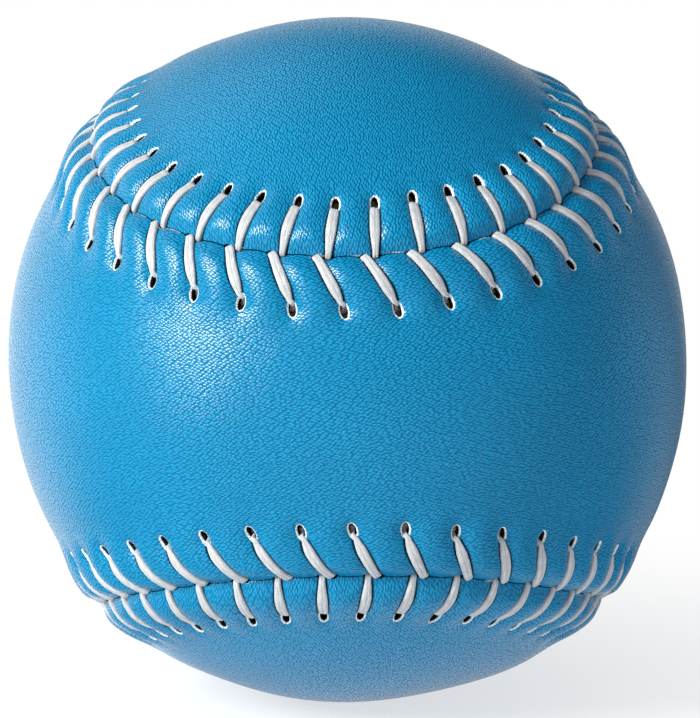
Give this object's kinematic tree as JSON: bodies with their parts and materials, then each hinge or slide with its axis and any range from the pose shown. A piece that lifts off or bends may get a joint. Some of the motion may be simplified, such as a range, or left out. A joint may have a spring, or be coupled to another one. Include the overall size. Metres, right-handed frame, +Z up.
{
  "type": "softball",
  "caption": "Ball with a foam core under two figure-eight leather panels, cemented down and sewn edge to edge with two waxed threads in raised V stitches.",
  "frame": {"origin": "centre of the ball", "axes": "+Z up and front -Y as in the picture; the seam line has its main axis along Y, through the waists of the two panels"},
  "size_m": [0.0968, 0.0964, 0.0968],
  "materials": {
    "foam": "moulded polyurethane foam with a closed skin",
    "cement": "dried rubber cement",
    "blue_leather": "smooth coated leather with a fine pebbled grain, softly glossy",
    "waxed_thread": "white waxed thread, laid flat"
  },
  "bodies": {
    "root": {"core": "foam", "cement_front": "cement", "cement_back": "cement", "cover_panel_front": "blue_leather", "cover_panel_back": "blue_leather", "thread_first": "waxed_thread", "thread_second": "waxed_thread"}
  },
  "joints": []
}
